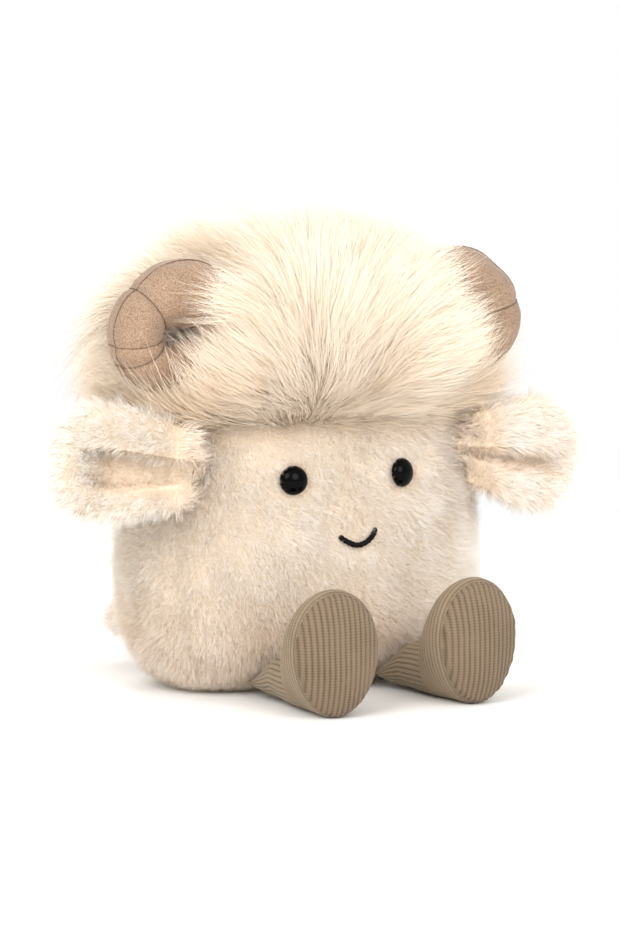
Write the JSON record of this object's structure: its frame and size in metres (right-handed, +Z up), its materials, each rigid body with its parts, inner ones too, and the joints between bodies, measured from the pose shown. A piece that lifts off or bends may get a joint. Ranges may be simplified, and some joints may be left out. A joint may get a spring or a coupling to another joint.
{
  "type": "plush sheep",
  "caption": "Sitting plush ram with a long-pile mane, curled horns, folded ears, corduroy legs and a stub tail, weighted to sit upright.",
  "frame": {"origin": "middle of the flat base that the toy sits on", "axes": "+Z up, the face looks along -Y, +X is the toy's left"},
  "size_m": [0.1767, 0.1399, 0.144],
  "materials": {
    "cream_plush": "short-pile knitted plush, matt",
    "long_pile": "long soft pile, matt with a light sheen along the hairs",
    "suedette": "brushed suedette, fine speckle, matt",
    "corduroy": "fine-wale cotton corduroy, matt",
    "fibre_filling": "loose polyester fibre",
    "pouch_lining": "plain woven lining",
    "pellets": "loose polyethylene pellets",
    "bead": "polished black",
    "washer": "moulded, natural white",
    "thread": "laid stitching thread, matt"
  },
  "bodies": {
    "body": {"face_panel": "cream_plush", "back_panel_left": "cream_plush", "back_panel_right": "cream_plush", "base_panel": "cream_plush", "crown_panel": "long_pile", "mane": "long_pile", "horn_left_front": "suedette", "horn_left_back": "suedette", "horn_right_front": "suedette", "horn_right_back": "suedette", "body_stuffing": "fibre_filling", "horn_left_stuffing": "fibre_filling", "horn_right_stuffing": "fibre_filling", "bean_pouch_top": "pouch_lining", "bean_pouch_bottom": "pouch_lining", "bean_pellets": "pellets", "eye_left": "bead", "eye_right": "bead", "eye_washer_left": "washer", "eye_washer_right": "washer", "mouth_thread": "thread"},
    "leg_left": {"leg_left_tube": "corduroy", "leg_left_foot": "corduroy", "leg_left_sole": "corduroy", "leg_left_stuffing": "fibre_filling"},
    "leg_right": {"leg_right_tube": "corduroy", "leg_right_foot": "corduroy", "leg_right_sole": "corduroy", "leg_right_stuffing": "fibre_filling"},
    "ear_left": {"ear_left_inner": "cream_plush", "ear_left_outer": "cream_plush"},
    "ear_right": {"ear_right_inner": "cream_plush", "ear_right_outer": "cream_plush"},
    "tail": {"tail_cover": "cream_plush", "tail_stuffing": "fibre_filling"}
  },
  "joints": [
    {"name": "hip_left", "type": "hinge", "parent": "body", "child": "leg_left", "pos_m": [0.02056, -0.02502, 0.005], "axis": [-0.9875, -0.1574, 0], "range_deg": [-70, 10]},
    {"name": "hip_right", "type": "hinge", "parent": "body", "child": "leg_right", "pos_m": [-0.02056, -0.02502, 0.005], "axis": [-0.9875, 0.1574, 0], "range_deg": [-70, 10]},
    {"name": "ear_flap_left", "type": "hinge", "parent": "body", "child": "ear_left", "pos_m": [0.04801, -0.02693, 0.07222], "axis": [0.225, -0.9744, 0], "range_deg": [-40, 12], "stiffness_Nm_per_rad": 0.02},
    {"name": "ear_flap_right", "type": "hinge", "parent": "body", "child": "ear_right", "pos_m": [-0.05212, -0.02351, 0.07234], "axis": [0.225, 0.9744, 0], "range_deg": [-40, 12], "stiffness_Nm_per_rad": 0.02},
    {"name": "tail_swing", "type": "hinge", "parent": "body", "child": "tail", "pos_m": [0, 0.03794, 0.02087], "axis": [0, 0, 1], "range_deg": [-112, 2], "stiffness_Nm_per_rad": 0.02}
  ]
}
